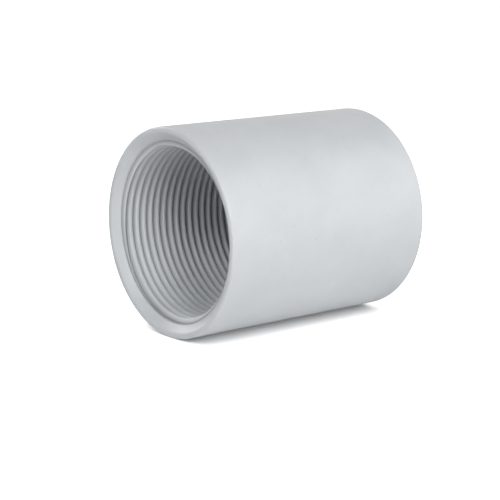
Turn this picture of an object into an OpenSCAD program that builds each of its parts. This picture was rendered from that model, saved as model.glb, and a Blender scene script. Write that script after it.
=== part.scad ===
/* [Body] */
// Length of the coupling from face to face, in mm
body_length = 44.2; // [30:0.1:80]
// Thickness of the wall outside the thread's groove
wall = 2.65; // [2:0.05:6]
// Radius of the rounding round the outer edge of each end
rim_round = 0.3; // [0.1:0.05:0.5]

/* [Mouth] */
// Radial step from the thread's groove out to the plain land before it
land_step = 0.3; // [0.2:0.05:0.6]
// Length of that land along the axis
land_length = 0.2; // [0.15:0.05:1.5]
// Depth of the bevel, from the end face to the land
bevel_depth = 1.1; // [0.6:0.05:1.2]
// Slope of the bevel, measured from the axis in degrees
bevel_angle = 51; // [35:1:52]
// Radius that softens the edge between the end face and the bevel
bevel_round = 0.8; // [0.3:0.1:1]

/* [Thread] */
// Nominal diameter of the metric conduit thread
thread_size = 32; // [16:1:63]
// Distance from one thread crest to the next
pitch = 1.5; // [1:0.25:2]
// Play on the diameter, at the crest and at the groove
thread_play = 0.2; // [0.1:0.05:0.4]
// Turns over which the crest rises to its full height at each end
run_in_turns = 0.5; // [0.3:0.1:1.5]
// Straight sides in one turn of the thread
turn_sides = 36; // [24:1:48]

/* [Hidden] */
shell_grey = "#cdd1d4";
smooth = 96;

// The metric form: 60 degree flanks, a crest flat of 1/4 pitch and a groove flat of 1/8 pitch
flank_angle = 30;
crest_flat = pitch / 4;
groove_flat = pitch / 8;
flank_rise = (pitch - crest_flat - groove_flat) / 2;
flank_depth = flank_rise / tan(flank_angle);

groove_r = (thread_size + thread_play) / 2;
crest_r = groove_r - flank_depth;
land_r = groove_r + land_step;
body_r = groove_r + wall;

// Depth below each end face at which the thread begins
entry_depth = bevel_depth + land_length;

// The corner between end face and bevel, and how far the rounding reaches along both
bevel_r = land_r + bevel_depth * tan(bevel_angle);
edge_reach = bevel_round * tan((90 - bevel_angle) / 2);

// Whole turns of thread that fit between the two mouths, and the height where they start
turns = floor((body_length - 2 * entry_depth) / pitch) - 1;
thread_start = (body_length - (turns + 1) * pitch) / 2;

// One pitch of the thread, going up: the groove's two corners, then the crest's
corner_rise = [0, groove_flat, groove_flat + flank_rise, pitch - flank_rise];
corner_is_crest = [false, false, true, true];
corners = len(corner_rise);
last_row = corners * turns;

// The cutter's plain ends reach halfway into the lands
cutter_low = bevel_depth + land_length / 2;
cutter_high = body_length - cutter_low;

// Share of full height that the crest has, from the turns that lie before and after it
function crest_share(done) = max(0, min(1, done / run_in_turns, (turns - done) / run_in_turns));

// Radius and place of a point on the thread, from its side of the turn and its row
function thread_r(side, row) =
    corner_is_crest[row % corners]
        ? groove_r - (groove_r - crest_r) * crest_share(floor(row / corners) + side / turn_sides)
        : groove_r;
function on_turn(r, side, height) =
    [r * cos(360 * side / turn_sides), r * sin(360 * side / turn_sides), height];
function thread_point(side, row) = on_turn(
    thread_r(side, row), side,
    thread_start + pitch * (floor(row / corners) + side / turn_sides) + corner_rise[row % corners]);

// Numbers of the points in the cutter's list
function at(side, row) = side * (last_row + 1) + row;
function low_at(side) = turn_sides * (last_row + 1) + side;
function high_at(side) = low_at(side) + turn_sides;

// The solid that cuts the bore: a rod with a right-hand outside thread
module thread_cutter() {
    sides = [0 : turn_sides - 1];
    points = concat(
        [for (side = sides, row = [0 : last_row]) thread_point(side, row)],
        [for (side = sides) on_turn(groove_r, side, cutter_low)],
        [for (side = sides) on_turn(groove_r, side, cutter_high)]
    );
    // Flanks, crests and grooves between neighbouring sides
    along = [for (side = [0 : turn_sides - 2], row = [0 : last_row - 1], half = [0, 1])
        half == 0
            ? [at(side, row), at(side, row + 1), at(side + 1, row + 1)]
            : [at(side, row), at(side + 1, row + 1), at(side + 1, row)]];
    // The last side meets the first one a turn higher up
    closing = [for (row = [0 : last_row - corners - 1], half = [0, 1])
        half == 0
            ? [at(turn_sides - 1, row), at(turn_sides - 1, row + 1), at(0, row + 1 + corners)]
            : [at(turn_sides - 1, row), at(0, row + 1 + corners), at(0, row + corners)]];
    // Plain ends between the thread and the two end rings
    low_wall = [for (side = [0 : turn_sides - 2], half = [0, 1])
        half == 0
            ? [low_at(side), at(side, 0), at(side + 1, 0)]
            : [low_at(side), at(side + 1, 0), low_at(side + 1)]];
    high_wall = [for (side = [0 : turn_sides - 2], half = [0, 1])
        half == 0
            ? [at(side, last_row), high_at(side), high_at(side + 1)]
            : [at(side, last_row), high_at(side + 1), at(side + 1, last_row)]];
    // Where the first turn starts and the last one ends, the ends close over one side
    low_start = concat(
        [[low_at(turn_sides - 1), at(turn_sides - 1, 0), low_at(0)]],
        [[low_at(0), at(turn_sides - 1, 0), at(0, 0)]],
        [for (row = [0 : corners - 1]) [at(turn_sides - 1, 0), at(0, row + 1), at(0, row)]]);
    high_finish = concat(
        [[high_at(0), at(0, last_row), high_at(turn_sides - 1)]],
        [[at(0, last_row), at(turn_sides - 1, last_row), high_at(turn_sides - 1)]],
        [for (row = [last_row - corners : last_row - 1])
            [at(0, last_row), at(turn_sides - 1, row), at(turn_sides - 1, row + 1)]]);
    caps = [[for (side = sides) low_at(side)], [for (side = sides) high_at(turn_sides - 1 - side)]];
    polyhedron(points, concat(along, closing, low_wall, high_wall, low_start, high_finish, caps));
}

// Half section of the hollow of one mouth, with the end face at height 0
module mouth_section() {
    centre = [bevel_r + edge_reach, -bevel_round];
    on_bevel = [bevel_r - edge_reach * sin(bevel_angle), -edge_reach * cos(bevel_angle)];
    polygon([
        [0, -entry_depth], [land_r, -entry_depth], [land_r, -bevel_depth],
        [bevel_r, 0], [bevel_r, 1], [0, 1]
    ]);
    difference() {
        polygon([on_bevel, [bevel_r, 0], [bevel_r, 1], [centre[0], 1], [centre[0], 0], centre]);
        translate(centre) circle(bevel_round);
    }
}

// Half section of the blank: a plain wall with rounded outer rims
module wall_section() {
    square([body_r - rim_round, body_length]);
    translate([0, rim_round]) square([body_r, body_length - 2 * rim_round]);
    for (height = [rim_round, body_length - rim_round])
        translate([body_r - rim_round, height]) circle(rim_round);
}

// The moulded blank, bevelled at both mouths and not yet tapped
module blank() {
    rotate_extrude($fn = smooth) difference() {
        wall_section();
        translate([0, body_length]) mouth_section();
        mirror([0, 1]) mouth_section();
    }
}

module coupling() {
    color(shell_grey) difference() {
        blank();
        thread_cutter();
    }
}

coupling();
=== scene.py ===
from math import pi, radians, sin, tan

import bmesh
import bpy
from bpy.props import FloatProperty, FloatVectorProperty, IntProperty, PointerProperty
from mathutils import Matrix, Vector


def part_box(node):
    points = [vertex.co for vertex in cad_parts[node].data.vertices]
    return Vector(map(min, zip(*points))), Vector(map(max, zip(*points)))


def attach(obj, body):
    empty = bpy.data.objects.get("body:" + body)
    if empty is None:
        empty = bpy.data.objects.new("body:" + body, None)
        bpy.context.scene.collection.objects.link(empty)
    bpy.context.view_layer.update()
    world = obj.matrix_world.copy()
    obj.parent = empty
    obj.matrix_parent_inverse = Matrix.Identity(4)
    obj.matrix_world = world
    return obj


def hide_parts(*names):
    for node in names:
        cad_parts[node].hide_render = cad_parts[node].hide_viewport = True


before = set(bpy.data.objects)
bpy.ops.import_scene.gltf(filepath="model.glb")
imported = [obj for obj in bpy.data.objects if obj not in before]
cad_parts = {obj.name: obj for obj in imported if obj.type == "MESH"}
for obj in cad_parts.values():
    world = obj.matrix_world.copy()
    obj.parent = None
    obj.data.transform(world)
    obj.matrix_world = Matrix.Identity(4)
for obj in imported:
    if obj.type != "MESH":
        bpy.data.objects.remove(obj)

bl_info = {
    "name": "Conduit coupling",
    "version": (1, 0),
    "blender": (4, 5, 0),
    "location": "3D View > Sidebar > Coupling",
    "description": "Makes a threaded plastic conduit coupling and the light it is shown in",
    "category": "Add Mesh",
}

MM = 0.001
cad_low, cad_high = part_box("coupling")
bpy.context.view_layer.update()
BODY_LENGTH = cad_high[2] - cad_low[2]
BODY_DIAMETER = cad_high[0] - cad_low[0]

# How the sleeve's surface is drawn and joined.
LAND_ROUND = 0.12 * MM
LAND_STEPS = 4
RIM_STEPS = 10
THREAD_STEPS = 2
SPARE_TURNS = 3
TURN_JOIN = 0.002 * MM
SEAM_JOIN = 0.001 * MM
CUT_REACH = 0.0001 * MM
RIM_REACH = 0.01 * MM
SHARP_FROM = radians(50)

# Patterns of the plastic: scale of each noise, and how far it changes the finish.
CLOUD_SCALE = 140.0
CLOUD_RANGE = (0.3, 0.7)
CLOUD_TONE = 0.03
SPECK_SCALE = 2600.0
SPECK_RANGE = (0.70, 0.78)
SPECK_TONE = 0.7
SHEEN_SCALE = 420.0
SHEEN_RANGE = (-0.05, 0.07)
TURNING_SCALE = (60.0, 60.0, 9000.0)
TURNING_DEPTH = 0.004 * MM
SKIN_SCALE = 900.0
SKIN_DEPTH = 0.012 * MM
# Painted shade in the thread's grooves begins this far deeper than the crest.
PAINTED_SHADE_BELOW_CREST = 0.2 * MM

# The coupling is photographed lying down. The model stands, so the picture's floor is the upright
# plane that touches the wall at +X, the picture's up is -X and the visible mouth is the upper one.
PICTURE_RIGHT = Vector((0, 0.6238, -0.7816))
PICTURE_UP = Vector((-0.9789, -0.1596, -0.1274))
TO_CAMERA = Vector((-0.2042, 0.7651, 0.6106))
CAMERA_PLACE = Vector((-54.0, 222.3, 203.1)) * MM
SENSOR_WIDTH = 36.0

# The floor and the little light it gives the coupling, the card behind the hidden mouth and the
# surroundings, bright behind the coupling and dim on the camera's side.
FLOOR_REACH = 2
FLOOR_WHITE = (0.88, 0.88, 0.88, 1)
FLOOR_FILL = 0.06
# How far the painted contact shadow in the floor's glow reaches.
CONTACT_SHADOW_REACH = 4 * MM
CARD_DARK = (0.02, 0.02, 0.02, 1)
CARD_GAP = 1.5 * MM
CARD_SIDES = 32
DIM_SIDE = 0.05
BACKDROP_RANGE = (-0.1, 0.5)

# Of each light: the way to it from the middle of the coupling, how far it is, its width and height.
LIGHTS = {
    "mouth": ((-0.62, 0.35, 0.70), 0.5, (0.25, 0.25)),
    "strip": ((-0.27, 0.90, 0.31), 0.5, (0.5, 0.13)),
    "far": ((-0.5, 0.8, -0.8), 0.25, (0.3, 0.3)),
    "edge": ((-0.32, -0.94, 0.1), 0.5, (0.4, 0.3)),
}


class CouplingSizes(bpy.types.PropertyGroup):
    """Sizes of the moulded and tapped sleeve"""

    length: FloatProperty(
        name="Length", description="Distance from face to face",
        default=BODY_LENGTH, subtype="DISTANCE", unit="LENGTH")
    diameter: FloatProperty(
        name="Diameter", description="Outside diameter of the wall",
        default=BODY_DIAMETER, subtype="DISTANCE", unit="LENGTH")
    rim_round: FloatProperty(
        name="Rim rounding", description="Radius round the outer edge of each end",
        default=0.45 * MM, subtype="DISTANCE", unit="LENGTH")
    land_diameter: FloatProperty(
        name="Land diameter", description="Diameter of the plain land before the thread",
        default=32.8 * MM, subtype="DISTANCE", unit="LENGTH")
    land_length: FloatProperty(
        name="Land length", description="Length of that land along the axis",
        default=0.2 * MM, subtype="DISTANCE", unit="LENGTH")
    bevel_depth: FloatProperty(
        name="Bevel depth", description="Depth of the bevel from the end face",
        default=1.1 * MM, subtype="DISTANCE", unit="LENGTH")
    bevel_angle: FloatProperty(
        name="Bevel slope", description="Slope of the bevel, measured from the axis",
        default=radians(51), subtype="ANGLE", unit="ROTATION")
    bevel_round: FloatProperty(
        name="Bevel rounding", description="Radius between the end face and the bevel",
        default=0.8 * MM, subtype="DISTANCE", unit="LENGTH")
    pitch: FloatProperty(
        name="Pitch", description="Distance from one thread crest to the next",
        default=1.5 * MM, subtype="DISTANCE", unit="LENGTH")
    groove_diameter: FloatProperty(
        name="Groove diameter", description="Diameter at the bottom of the groove",
        default=32.2 * MM, subtype="DISTANCE", unit="LENGTH")
    crest_diameter: FloatProperty(
        name="Crest diameter", description="Diameter of the hole between the crests",
        default=30.6 * MM, subtype="DISTANCE", unit="LENGTH")
    crest_flat: FloatProperty(
        name="Crest flat", description="Width of the crest before its corners are rounded",
        default=0.375 * MM, subtype="DISTANCE", unit="LENGTH")
    groove_flat: FloatProperty(
        name="Groove flat", description="Width of the groove's bottom before it is rounded",
        default=0.1875 * MM, subtype="DISTANCE", unit="LENGTH")
    thread_round: FloatProperty(
        name="Thread rounding", description="Radius on the corners of crest and groove",
        default=0.06 * MM, subtype="DISTANCE", unit="LENGTH")
    run_in: FloatProperty(
        name="Run-in", description="Depth over which the first crests are bevelled off",
        default=0.3 * MM, subtype="DISTANCE", unit="LENGTH")
    sides: IntProperty(
        name="Sides", description="Straight sides of every circle", default=128, min=24)


class CouplingFinish(bpy.types.PropertyGroup):
    """Colour and surface of the moulded plastic"""

    plastic: FloatVectorProperty(
        name="Plastic", description="Colour of the light grey plastic",
        default=(0.60, 0.622, 0.642), size=3, subtype="COLOR")
    roughness: FloatProperty(
        name="Roughness", description="Roughness of the moulded skin",
        default=0.34, subtype="FACTOR", min=0, max=1)
    # Colour and strength of the painted shade at the bottom of the thread's grooves.
    painted_shade: FloatVectorProperty(
        name="Painted shade", description="Colour of the dust left in the grooves of the thread",
        default=(0.08, 0.085, 0.09), size=3, subtype="COLOR")
    painted_shade_share: FloatProperty(
        name="Groove dust", description="How much of the groove's bottom the dust covers",
        default=0.5, subtype="FACTOR", min=0, max=1)


class StageSettings(bpy.types.PropertyGroup):
    """The light and the camera that the coupling is shown with"""

    mouth: FloatProperty(
        name="Mouth light", description="Power of the light that shines into the near mouth",
        default=1.05, unit="POWER")
    strip: FloatProperty(
        name="Strip light", description="Power of the narrow light beside the camera",
        default=1.5, unit="POWER")
    far: FloatProperty(
        name="Far light", description="Power of the light close to the hidden end",
        default=0.32, unit="POWER")
    edge: FloatProperty(
        name="Edge light", description="Power of the light behind, which picks out the top edge",
        default=1.1, unit="POWER")
    ambient: FloatProperty(
        name="Ambient", description="Strength of the light from all round",
        default=0.03, subtype="FACTOR", min=0, max=1)
    lens: FloatProperty(
        name="Lens", description="Focal length of the camera in millimetres", default=114.5)


def rounded(corners):
    """Points of an outline whose corners are (radius, height, rounding, steps)."""
    points = []
    for number, (r, z, rounding, steps) in enumerate(corners):
        corner = Vector((r, z))
        if not rounding:
            points.append(corner)
            continue
        before = (Vector(corners[number - 1][:2]) - corner).normalized()
        after = (Vector(corners[number + 1][:2]) - corner).normalized()
        half = before.angle(after) / 2
        centre = corner + (before + after).normalized() * rounding / sin(half)
        start = corner + before * rounding / tan(half) - centre
        turn = before.angle_signed(after)
        sweep = (pi - abs(turn)) * (1 if turn > 0 else -1)
        for step in range(steps + 1):
            points.append(centre + Matrix.Rotation(sweep * step / steps, 2) @ start)
    return points


def draw(bm, points):
    """Draws an outline of (radius, height) points as edges in the half plane y = 0."""
    verts = [bm.verts.new((r, 0, z)) for r, z in points]
    return verts + [bm.edges.new(pair) for pair in zip(verts, verts[1:])]


def spin(bm, geom, sides, rise=0.0):
    """Turns an outline once round the axis, climbing by rise if it is a thread."""
    bmesh.ops.spin(
        bm, geom=geom, cent=(0, 0, 0), axis=(0, 0, 1), dvec=(0, 0, rise / sides),
        angle=2 * pi, steps=sides, use_merge=not rise)


def entry_depth(sizes):
    return sizes.bevel_depth + sizes.land_length


def shell_outline(sizes):
    """Outline of everything outside the thread, from the upper land round to the lower one."""
    wall = sizes.diameter / 2
    land = sizes.land_diameter / 2
    bevel = land + sizes.bevel_depth * tan(sizes.bevel_angle)
    upper = [
        (land, sizes.length - entry_depth(sizes), 0, 0),
        (land, sizes.length - sizes.bevel_depth, LAND_ROUND, LAND_STEPS),
        (bevel, sizes.length, sizes.bevel_round, RIM_STEPS),
        (wall, sizes.length, sizes.rim_round, RIM_STEPS),
    ]
    lower = [(r, sizes.length - z, rounding, steps) for r, z, rounding, steps in reversed(upper)]
    return rounded(upper + lower)


def thread_outline(sizes, turns):
    """Outline of the thread's flanks, crests and grooves over that many turns."""
    groove = sizes.groove_diameter / 2
    crest = sizes.crest_diameter / 2
    flank = (sizes.pitch - sizes.crest_flat - sizes.groove_flat) / 2
    corners = []
    for turn in range(turns):
        foot = turn * sizes.pitch
        corners += [
            (groove, foot, sizes.thread_round, THREAD_STEPS),
            (groove, foot + sizes.groove_flat, sizes.thread_round, THREAD_STEPS),
            (crest, foot + sizes.groove_flat + flank, sizes.thread_round, THREAD_STEPS),
            (crest, foot + sizes.pitch - flank, sizes.thread_round, THREAD_STEPS),
        ]
    corners[0] = corners[0][:2] + (0, 0)
    corners.append((groove, turns * sizes.pitch, 0, 0))
    return rounded(corners)


def make_thread(sizes):
    """The helical surface of the bore, trimmed flat where the two mouths begin."""
    bm = bmesh.new()
    low = entry_depth(sizes)
    high = sizes.length - low
    turns = int((high - low) / sizes.pitch) + SPARE_TURNS
    spin(bm, draw(bm, thread_outline(sizes, turns)), sizes.sides, sizes.pitch)
    bmesh.ops.remove_doubles(bm, verts=bm.verts, dist=TURN_JOIN)
    start = (sizes.length - (turns + 1) * sizes.pitch) / 2
    bmesh.ops.translate(bm, verts=bm.verts, vec=(0, 0, start))
    groove = sizes.groove_diameter / 2
    depth = groove - sizes.crest_diameter / 2
    for vert in bm.verts:
        from_mouth = min(vert.co.z - low, high - vert.co.z)
        least = groove - depth * max(0, min(1, from_mouth / sizes.run_in))
        radius = vert.co.xy.length
        if radius < least:
            vert.co.xy *= least / radius
    for height, up in ((low, -1), (high, 1)):
        bmesh.ops.bisect_plane(
            bm, geom=bm.verts[:] + bm.edges[:] + bm.faces[:], dist=CUT_REACH,
            plane_co=(0, 0, height), plane_no=(0, 0, up), clear_outer=True)
    return bm


def rim_edges(bm, height):
    """Open edges that lie at a height, where two surfaces are to be joined."""
    return [edge for edge in bm.edges if edge.is_boundary
            and all(abs(vert.co.z - height) < RIM_REACH for vert in edge.verts)]


def in_scene(name, data):
    """A new object at the origin, shown in the scene."""
    thing = bpy.data.objects.new(name, data)
    bpy.context.scene.collection.objects.link(thing)
    return thing


def as_object(bm, name, material):
    """Turns a finished bmesh into an object with its material."""
    mesh = bpy.data.meshes.new(name)
    bm.to_mesh(mesh)
    bm.free()
    mesh.materials.append(material)
    return in_scene(name, mesh)


def make_sleeve(sizes, material):
    """The whole coupling as one closed surface."""
    bm = make_thread(sizes)
    spin(bm, draw(bm, shell_outline(sizes)), sizes.sides)
    low = entry_depth(sizes)
    for height in (low, sizes.length - low):
        bmesh.ops.bridge_loops(bm, edges=rim_edges(bm, height))
    bmesh.ops.remove_doubles(bm, verts=bm.verts, dist=SEAM_JOIN)
    bmesh.ops.recalc_face_normals(bm, faces=bm.faces)
    piece = as_object(bm, "coupling_sleeve", material)
    piece.data.shade_smooth()
    piece.data.set_sharp_from_angle(angle=SHARP_FROM)
    return piece


def add_node(tree, kind, **settings):
    """A shader node with its properties and the values of its named inputs."""
    node = tree.nodes.new(kind)
    for name, value in settings.items():
        if hasattr(node, name):
            setattr(node, name, value)
        else:
            node.inputs[name.replace("_", " ")].default_value = value
    return node


def new_material(name):
    """An empty node material, its node tree and the function that links its sockets."""
    material = bpy.data.materials.new(name)
    material.use_nodes = True
    tree = material.node_tree
    tree.nodes.clear()
    return material, tree, tree.links.new


def noise(tree, place, scale, detail, **settings):
    """Noise laid over the coupling at a scale of its own."""
    pattern = add_node(tree, "ShaderNodeTexNoise", Scale=scale, Detail=detail, **settings)
    tree.links.new(place, pattern.inputs["Vector"])
    return pattern.outputs["Fac"]


def mottled_colour(tree, place, plastic):
    """The plastic's colour with faint clouds and a few darker specks."""
    link = tree.links.new
    tones = add_node(tree, "ShaderNodeValToRGB")
    for end, share in enumerate((1 - CLOUD_TONE, 1 + CLOUD_TONE)):
        tones.color_ramp.elements[end].position = CLOUD_RANGE[end]
        tones.color_ramp.elements[end].color = (*(plastic * share), 1)
    link(noise(tree, place, CLOUD_SCALE, 4.0, Roughness=0.55), tones.inputs["Fac"])
    specks = add_node(
        tree, "ShaderNodeMapRange", From_Min=SPECK_RANGE[0], From_Max=SPECK_RANGE[1])
    link(noise(tree, place, SPECK_SCALE, 2.0), specks.inputs["Value"])
    speckled = add_node(tree, "ShaderNodeMixRGB", Color2=(*(plastic * SPECK_TONE), 1))
    link(specks.outputs["Result"], speckled.inputs["Fac"])
    link(tones.outputs["Color"], speckled.inputs["Color1"])
    return speckled.outputs["Color"]


def painted_groove_shade(tree, place, finish, sizes):
    """How much painted shade darkens the thread: none on the crests, most at the bottom of the
    grooves.
    """
    link = tree.links.new
    across = add_node(tree, "ShaderNodeVectorMath", operation="MULTIPLY")
    link(place, across.inputs[0])
    across.inputs[1].default_value = (1, 1, 0)
    radius = add_node(tree, "ShaderNodeVectorMath", operation="LENGTH")
    link(across.outputs["Vector"], radius.inputs[0])
    depth = add_node(
        tree, "ShaderNodeMapRange", From_Min=sizes.crest_diameter / 2 + PAINTED_SHADE_BELOW_CREST,
        From_Max=sizes.groove_diameter / 2, To_Max=finish.painted_shade_share)
    link(radius.outputs["Value"], depth.inputs["Value"])
    # The land and the wall are wider than the grooves, and get no painted shade.
    inside = add_node(tree, "ShaderNodeMath", operation="LESS_THAN")
    link(radius.outputs["Value"], inside.inputs[0])
    inside.inputs[1].default_value = (sizes.groove_diameter + sizes.land_diameter) / 4
    painted_shade = add_node(tree, "ShaderNodeMath", operation="MULTIPLY")
    link(depth.outputs["Result"], painted_shade.inputs[0])
    link(inside.outputs["Value"], painted_shade.inputs[1])
    return painted_shade.outputs["Value"]


def skin_relief(tree, place):
    """Fine turning lines round the wall under the shallow waves of a moulded skin."""
    link = tree.links.new
    turning = add_node(tree, "ShaderNodeMapping", Scale=TURNING_SCALE)
    link(place, turning.inputs["Vector"])
    lines = add_node(tree, "ShaderNodeBump", Strength=0.25, Distance=TURNING_DEPTH)
    link(noise(tree, turning.outputs["Vector"], 1.0, 2.0), lines.inputs["Height"])
    skin = add_node(tree, "ShaderNodeBump", Strength=0.3, Distance=SKIN_DEPTH)
    link(noise(tree, place, SKIN_SCALE, 3.0), skin.inputs["Height"])
    link(lines.outputs["Normal"], skin.inputs["Normal"])
    return skin.outputs["Normal"]


def plastic_material(finish, sizes):
    """Light grey rigid plastic with a satin moulded skin and painted shade in the thread's grooves.
    """
    material, tree, link = new_material("light_grey_plastic")
    place = add_node(tree, "ShaderNodeTexCoord").outputs["Object"]
    # The colour darkens towards the bottom of the grooves: painted shade.
    with_painted_shade = add_node(tree, "ShaderNodeMixRGB", Color2=(*finish.painted_shade, 1))
    link(painted_groove_shade(tree, place, finish, sizes), with_painted_shade.inputs["Fac"])
    link(mottled_colour(tree, place, Vector(finish.plastic)), with_painted_shade.inputs["Color1"])
    gloss = add_node(
        tree, "ShaderNodeMapRange", To_Min=finish.roughness + SHEEN_RANGE[0],
        To_Max=finish.roughness + SHEEN_RANGE[1])
    link(noise(tree, place, SHEEN_SCALE, 3.0), gloss.inputs["Value"])
    shader = add_node(tree, "ShaderNodeBsdfPrincipled", IOR=1.53)
    link(with_painted_shade.outputs["Color"], shader.inputs["Base Color"])
    link(gloss.outputs["Result"], shader.inputs["Roughness"])
    link(skin_relief(tree, place), shader.inputs["Normal"])
    output = add_node(tree, "ShaderNodeOutputMaterial")
    link(shader.outputs["BSDF"], output.inputs["Surface"])
    return material


def floor_material():
    """Floor that the camera sees as white, clear from behind; where the coupling touches it a
    painted contact shadow dims its glow, over the real shadow of its diffuse part.
    """
    material, tree, link = new_material("white_floor")
    diffuse = add_node(tree, "ShaderNodeBsdfDiffuse", Color=FLOOR_WHITE)
    # The glow the camera sees dims with ambient occlusion near the coupling: a painted contact
    # shadow.
    painted_contact_shadow = add_node(tree, "ShaderNodeAmbientOcclusion", samples=16, Distance=CONTACT_SHADOW_REACH)
    rays = add_node(tree, "ShaderNodeLightPath")
    shown = add_node(tree, "ShaderNodeMapRange", To_Min=FLOOR_FILL)
    link(painted_contact_shadow.outputs["AO"], shown.inputs["To Max"])
    link(rays.outputs["Is Camera Ray"], shown.inputs["Value"])
    glow = add_node(tree, "ShaderNodeEmission")
    link(shown.outputs["Result"], glow.inputs["Strength"])
    both = add_node(tree, "ShaderNodeAddShader")
    link(diffuse.outputs["BSDF"], both.inputs[0])
    link(glow.outputs["Emission"], both.inputs[1])
    side = add_node(tree, "ShaderNodeNewGeometry")
    clear = add_node(tree, "ShaderNodeBsdfTransparent")
    choose = add_node(tree, "ShaderNodeMixShader")
    link(side.outputs["Backfacing"], choose.inputs["Fac"])
    link(both.outputs["Shader"], choose.inputs[1])
    link(clear.outputs["BSDF"], choose.inputs[2])
    output = add_node(tree, "ShaderNodeOutputMaterial")
    link(choose.outputs["Shader"], output.inputs["Surface"])
    return material


def card_material():
    """Nearly black card that the camera doesn't see."""
    material, tree, link = new_material("dark_card")
    rays = add_node(tree, "ShaderNodeLightPath")
    dark = add_node(tree, "ShaderNodeBsdfDiffuse", Color=CARD_DARK)
    unseen = add_node(tree, "ShaderNodeBsdfTransparent")
    choose = add_node(tree, "ShaderNodeMixShader")
    output = add_node(tree, "ShaderNodeOutputMaterial")
    link(rays.outputs["Is Camera Ray"], choose.inputs["Fac"])
    link(dark.outputs["BSDF"], choose.inputs[1])
    link(unseen.outputs["BSDF"], choose.inputs[2])
    link(choose.outputs["Shader"], output.inputs["Surface"])
    return material


def white_surroundings(ambient):
    """World that the camera sees as white, bright behind the coupling and dim beside the camera."""
    world = bpy.data.worlds.new("white_room")
    world.use_nodes = True
    tree = world.node_tree
    tree.nodes.clear()
    link = tree.links.new
    rays = add_node(tree, "ShaderNodeLightPath")
    direction = add_node(tree, "ShaderNodeTexCoord")
    behind = add_node(tree, "ShaderNodeVectorMath", operation="DOT_PRODUCT")
    link(direction.outputs["Generated"], behind.inputs[0])
    behind.inputs[1].default_value = -TO_CAMERA
    backdrop = add_node(
        tree, "ShaderNodeMapRange", From_Min=BACKDROP_RANGE[0], From_Max=BACKDROP_RANGE[1],
        To_Min=DIM_SIDE)
    link(behind.outputs["Value"], backdrop.inputs["Value"])
    reach = add_node(tree, "ShaderNodeMapRange", To_Min=ambient)
    link(rays.outputs["Is Glossy Ray"], reach.inputs["Value"])
    lighting = add_node(tree, "ShaderNodeMath", operation="MULTIPLY")
    link(backdrop.outputs["Result"], lighting.inputs[0])
    link(reach.outputs["Result"], lighting.inputs[1])
    strength = add_node(tree, "ShaderNodeMath", operation="MAXIMUM")
    link(lighting.outputs["Value"], strength.inputs[0])
    link(rays.outputs["Is Camera Ray"], strength.inputs[1])
    light = add_node(tree, "ShaderNodeBackground", Color=(1, 1, 1, 1))
    link(strength.outputs["Value"], light.inputs["Strength"])
    output = add_node(tree, "ShaderNodeOutputWorld")
    link(light.outputs["Background"], output.inputs["Surface"])
    bpy.context.scene.world = world


def white_floor(sizes):
    """Upright plane that touches the wall, which is the floor of the picture."""
    bm = bmesh.new()
    bmesh.ops.create_grid(bm, x_segments=1, y_segments=1, size=FLOOR_REACH)
    bmesh.ops.rotate(bm, verts=bm.verts, cent=(0, 0, 0), matrix=Matrix.Rotation(-pi / 2, 3, "Y"))
    bmesh.ops.translate(bm, verts=bm.verts, vec=(sizes.diameter / 2, 0, sizes.length / 2))
    as_object(bm, "floor", floor_material())


def dark_card(sizes):
    """Card behind the hidden mouth that keeps light out of the bore and is never seen."""
    bm = bmesh.new()
    bmesh.ops.create_circle(
        bm, cap_ends=True, segments=CARD_SIDES, radius=sizes.crest_diameter / 2)
    bmesh.ops.translate(bm, verts=bm.verts, vec=(0, 0, -CARD_GAP))
    as_object(bm, "dark_card", card_material())


def soft_light(name, power, size, offset, target):
    """Rectangular lamp that faces the target from an offset."""
    lamp = bpy.data.lights.new(name, "AREA")
    lamp.shape = "RECTANGLE"
    lamp.size, lamp.size_y = size
    lamp.energy = power
    aim = (-offset).to_track_quat("-Z", "Y")
    light = in_scene(name, lamp)
    light.matrix_world = Matrix.Translation(target + offset) @ aim.to_matrix().to_4x4()


def set_camera(lens):
    """Camera at the picture's own viewing angle."""
    view = bpy.data.cameras.new("camera")
    view.lens = lens
    view.sensor_width = SENSOR_WIDTH
    turn = Matrix((PICTURE_RIGHT, PICTURE_UP, TO_CAMERA)).transposed().to_4x4()
    camera = in_scene("camera", view)
    camera.matrix_world = Matrix.Translation(CAMERA_PLACE) @ turn
    bpy.context.scene.camera = camera


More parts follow.
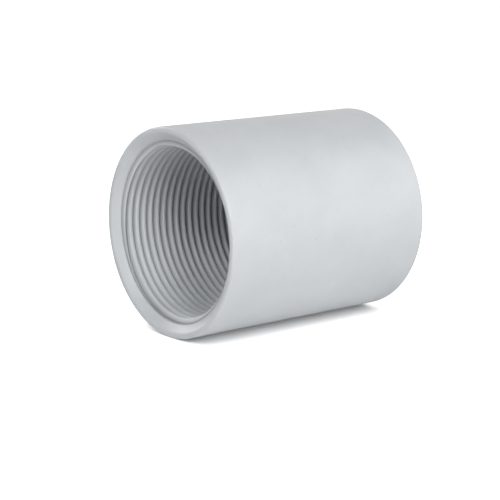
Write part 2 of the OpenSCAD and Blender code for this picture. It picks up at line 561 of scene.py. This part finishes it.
class COUPLING_OT_sleeve(bpy.types.Operator):
    """Makes the threaded sleeve in its plastic"""

    bl_idname = "coupling.sleeve"
    bl_label = "Threaded sleeve"

    def execute(self, context):
        sizes = context.scene.coupling_sizes
        piece = make_sleeve(sizes, plastic_material(context.scene.coupling_finish, sizes))
        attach(piece, "root")
        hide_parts("coupling")
        return {"FINISHED"}


class COUPLING_OT_stage(bpy.types.Operator):
    """Sets up the floor, the lights, the surroundings and the camera"""

    bl_idname = "coupling.stage"
    bl_label = "Stage and camera"

    def execute(self, context):
        stage = context.scene.coupling_stage
        sizes = context.scene.coupling_sizes
        centre = Vector((0, 0, sizes.length / 2))
        white_floor(sizes)
        for name, (way, distance, size) in LIGHTS.items():
            offset = Vector(way).normalized() * distance
            soft_light(name + "_light", getattr(stage, name), size, offset, centre)
        dark_card(sizes)
        white_surroundings(stage.ambient)
        set_camera(stage.lens)
        context.scene.view_settings.view_transform = "Standard"
        return {"FINISHED"}


class COUPLING_PT_panel(bpy.types.Panel):
    bl_idname = "COUPLING_PT_panel"
    bl_label = "Conduit coupling"
    bl_space_type = "VIEW_3D"
    bl_region_type = "UI"
    bl_category = "Coupling"

    def draw(self, context):
        for group in GROUPS:
            settings = getattr(context.scene, group)
            for name in settings.__annotations__:
                self.layout.prop(settings, name)
        self.layout.operator(COUPLING_OT_sleeve.bl_idname)
        self.layout.operator(COUPLING_OT_stage.bl_idname)


CLASSES = (CouplingSizes, CouplingFinish, StageSettings,
           COUPLING_OT_sleeve, COUPLING_OT_stage, COUPLING_PT_panel)
GROUPS = {"coupling_sizes": CouplingSizes, "coupling_finish": CouplingFinish,
          "coupling_stage": StageSettings}


def register():
    for kind in CLASSES:
        bpy.utils.register_class(kind)
    for name, kind in GROUPS.items():
        setattr(bpy.types.Scene, name, PointerProperty(type=kind))


def unregister():
    for name in GROUPS:
        delattr(bpy.types.Scene, name)
    for kind in reversed(CLASSES):
        bpy.utils.unregister_class(kind)


def main():
    register()
    bpy.ops.coupling.sleeve()
    bpy.ops.coupling.stage()


if __name__ == "__main__":
    main()
